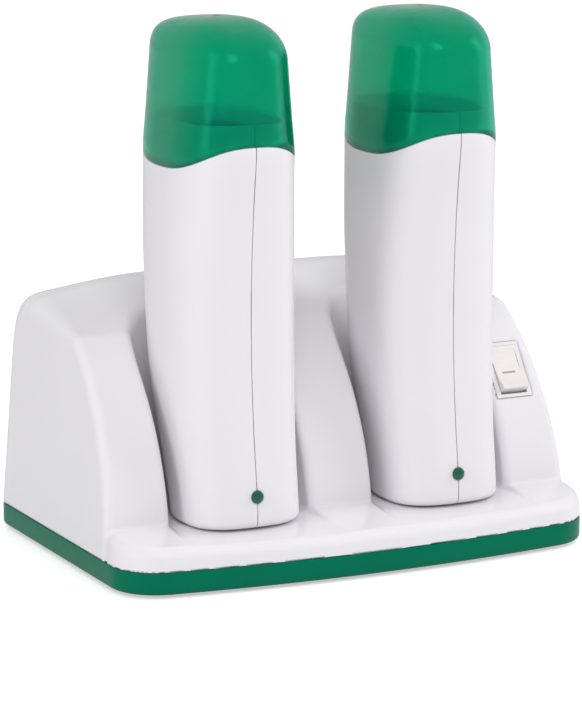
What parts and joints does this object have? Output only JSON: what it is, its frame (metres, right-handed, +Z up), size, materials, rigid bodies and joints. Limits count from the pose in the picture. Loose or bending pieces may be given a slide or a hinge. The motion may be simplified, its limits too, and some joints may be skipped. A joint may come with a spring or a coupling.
{
  "type": "roll on wax heater",
  "caption": "Docking base with a curved housing that holds upright hand-held roll on wax heaters under rounded lift-off caps, with a rocker switch.",
  "frame": {"origin": "middle of the footprint, on the floor under the foot pads", "axes": "+Z up, -Y to the front where the heaters stand and the signal lamps face, +X to the right as seen from the front"},
  "size_m": [0.209, 0.152, 0.2207],
  "materials": {
    "cover_abs": "polished mould, glossy white",
    "pan_abs": "glossy green",
    "shell_abs": "polished mould, glossy white",
    "cap_green": "translucent green, polished",
    "lens_green": "dark green diffused lens",
    "switch_nylon": "ivory, satin",
    "black_nylon": "black, satin",
    "pad_rubber": "dark grey, matt",
    "screw_steel": "zinc plated",
    "contact_brass": "drawn",
    "pin_nickel": "nickel plated",
    "chamber_aluminium": "die cast, satin",
    "mica_sleeve": "glass fibre sleeve",
    "ceramic": "fired ceramic",
    "board_green": "solder mask",
    "wire_pvc": "PVC insulation"
  },
  "bodies": {
    "base": {"foot_pads": "pad_rubber", "base_pan": "pan_abs", "base_screws": "screw_steel", "base_cover": "cover_abs", "switch_frame": "switch_nylon", "switch_terminals": "contact_brass", "inlet_housing": "black_nylon", "inlet_pins": "pin_nickel", "base_wiring": "wire_pvc", "left_dock_connector": "black_nylon", "left_dock_contacts": "contact_brass", "right_dock_connector": "black_nylon", "right_dock_contacts": "contact_brass"},
    "left_heater": {"left_heater_left_shell": "shell_abs", "left_heater_right_shell": "shell_abs", "left_shell_screws": "screw_steel", "left_chamber": "chamber_aluminium", "left_insulation": "mica_sleeve", "left_heating_element": "ceramic", "left_clamp_plate": "screw_steel", "left_thermal_cutout": "ceramic", "left_led_board": "board_green", "left_led_lens": "lens_green", "left_heater_inlet": "black_nylon", "left_heater_pins": "contact_brass", "left_heater_wiring": "wire_pvc"},
    "right_heater": {"right_heater_left_shell": "shell_abs", "right_heater_right_shell": "shell_abs", "right_shell_screws": "screw_steel", "right_chamber": "chamber_aluminium", "right_insulation": "mica_sleeve", "right_heating_element": "ceramic", "right_clamp_plate": "screw_steel", "right_thermal_cutout": "ceramic", "right_led_board": "board_green", "right_led_lens": "lens_green", "right_heater_inlet": "black_nylon", "right_heater_pins": "contact_brass", "right_heater_wiring": "wire_pvc"},
    "left_cap": {"left_cap": "cap_green"},
    "right_cap": {"right_cap": "cap_green"},
    "rocker": {"rocker": "switch_nylon"}
  },
  "joints": [
    {"name": "left_heater_lift", "type": "slide", "parent": "base", "child": "left_heater", "axis": [0, 0, 1], "range_m": [0, 0.12]},
    {"name": "right_heater_lift", "type": "slide", "parent": "base", "child": "right_heater", "axis": [0, 0, 1], "range_m": [0, 0.12]},
    {"name": "left_cap_lift", "type": "slide", "parent": "left_heater", "child": "left_cap", "axis": [0, 0, 1], "range_m": [0, 0.06]},
    {"name": "right_cap_lift", "type": "slide", "parent": "right_heater", "child": "right_cap", "axis": [0, 0, 1], "range_m": [0, 0.06]},
    {"name": "rocker_tilt", "type": "hinge", "parent": "base", "child": "rocker", "pos_m": [0.0862, -0.02267, 0.06517], "axis": [1, 0, 0], "range_deg": [0, 16]}
  ]
}
